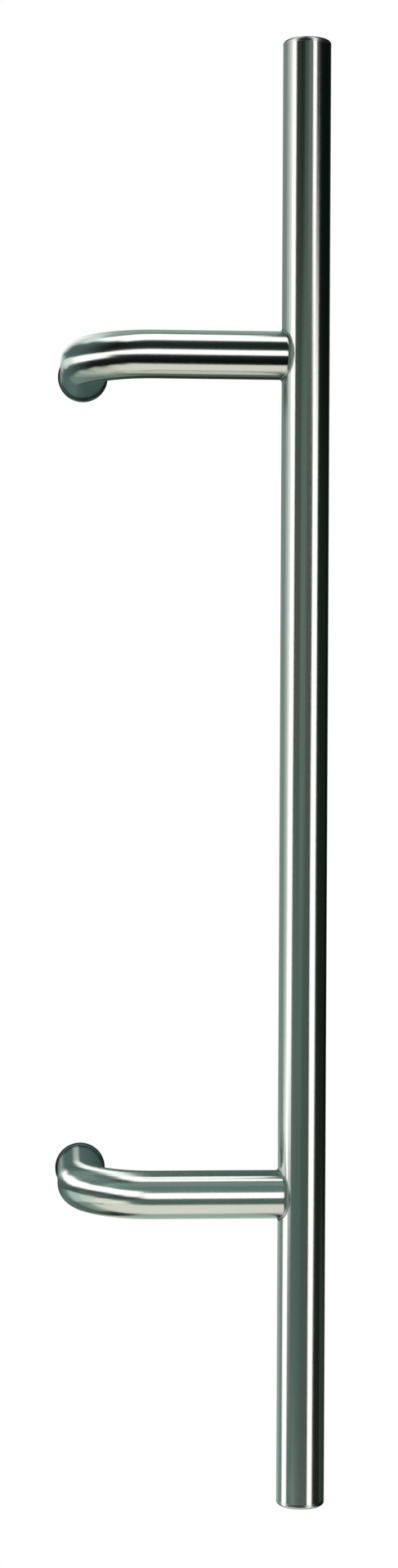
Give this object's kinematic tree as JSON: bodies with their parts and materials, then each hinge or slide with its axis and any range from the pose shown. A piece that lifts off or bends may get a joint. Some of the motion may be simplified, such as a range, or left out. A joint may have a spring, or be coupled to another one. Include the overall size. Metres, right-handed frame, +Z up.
{
  "type": "offset door pull handle",
  "caption": "Offset stainless tube door pull: a straight vertical grip welded to bent legs that hold it off the door and to one side, bolted from behind into threaded feet.",
  "frame": {"origin": "on the door face, midway between the two fixing axes", "axes": "+X sideways from the fixings to the grip, +Y into the door, +Z up along the grip"},
  "size_m": [0.113, 0.078, 0.61],
  "materials": {
    "grip_tube": "fine satin stainless",
    "leg_tube": "fine satin stainless",
    "end_cap": "turned stainless",
    "weld": "dressed weld",
    "insert": "turned stainless"
  },
  "bodies": {
    "root": {"grip_tube": "grip_tube", "upper_end_cap": "end_cap", "lower_end_cap": "end_cap", "upper_leg": "leg_tube", "lower_leg": "leg_tube", "upper_weld": "weld", "lower_weld": "weld", "upper_fixing_insert": "insert", "lower_fixing_insert": "insert"}
  },
  "joints": []
}
